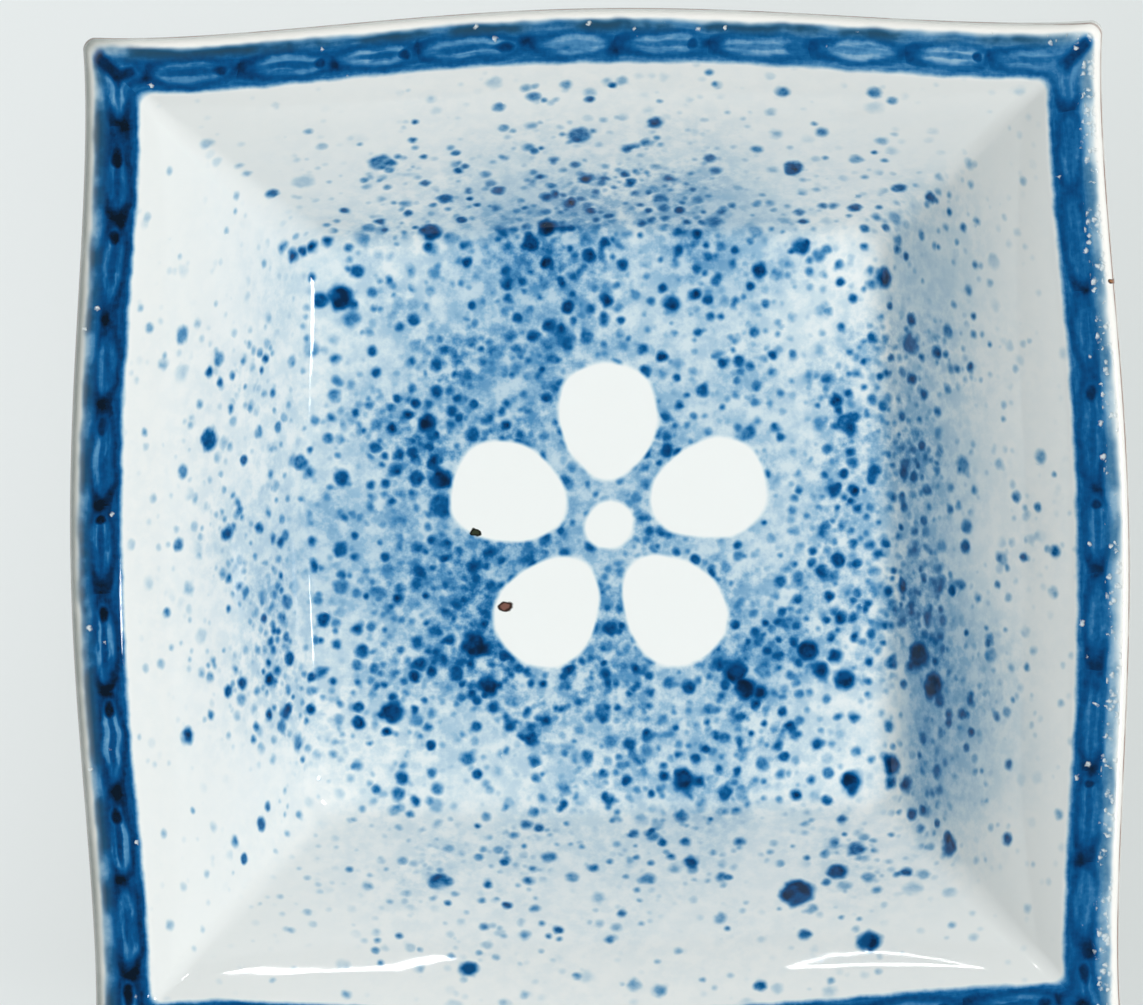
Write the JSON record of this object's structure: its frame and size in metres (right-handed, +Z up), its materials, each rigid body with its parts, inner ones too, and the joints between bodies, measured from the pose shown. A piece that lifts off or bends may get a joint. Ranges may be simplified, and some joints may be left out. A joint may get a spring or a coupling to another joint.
{
  "type": "soy sauce dish",
  "caption": "Small square porcelain dish for soy sauce, with bowed sides, raised mitred corners, a narrow banded brim, a sloping well and a foot ring.",
  "frame": {"origin": "middle of the dish on the plane that the foot stands on", "axes": "+Z up, square to the floor of the well; X and Y square to the sides, with +Y towards the picture's upper edge"},
  "size_m": [0.095, 0.095, 0.0288],
  "materials": {
    "painted_porcelain": "clear gloss glaze over white porcelain, cobalt blue spatter and a painted blue band on the brim, thin iron-brown line on the lip",
    "foot_porcelain": "clear gloss glaze on the sides, wiped bare to matt porcelain on the strip that stands on the table"
  },
  "bodies": {
    "root": {"dish_body": "painted_porcelain", "foot_ring": "foot_porcelain"}
  },
  "joints": []
}
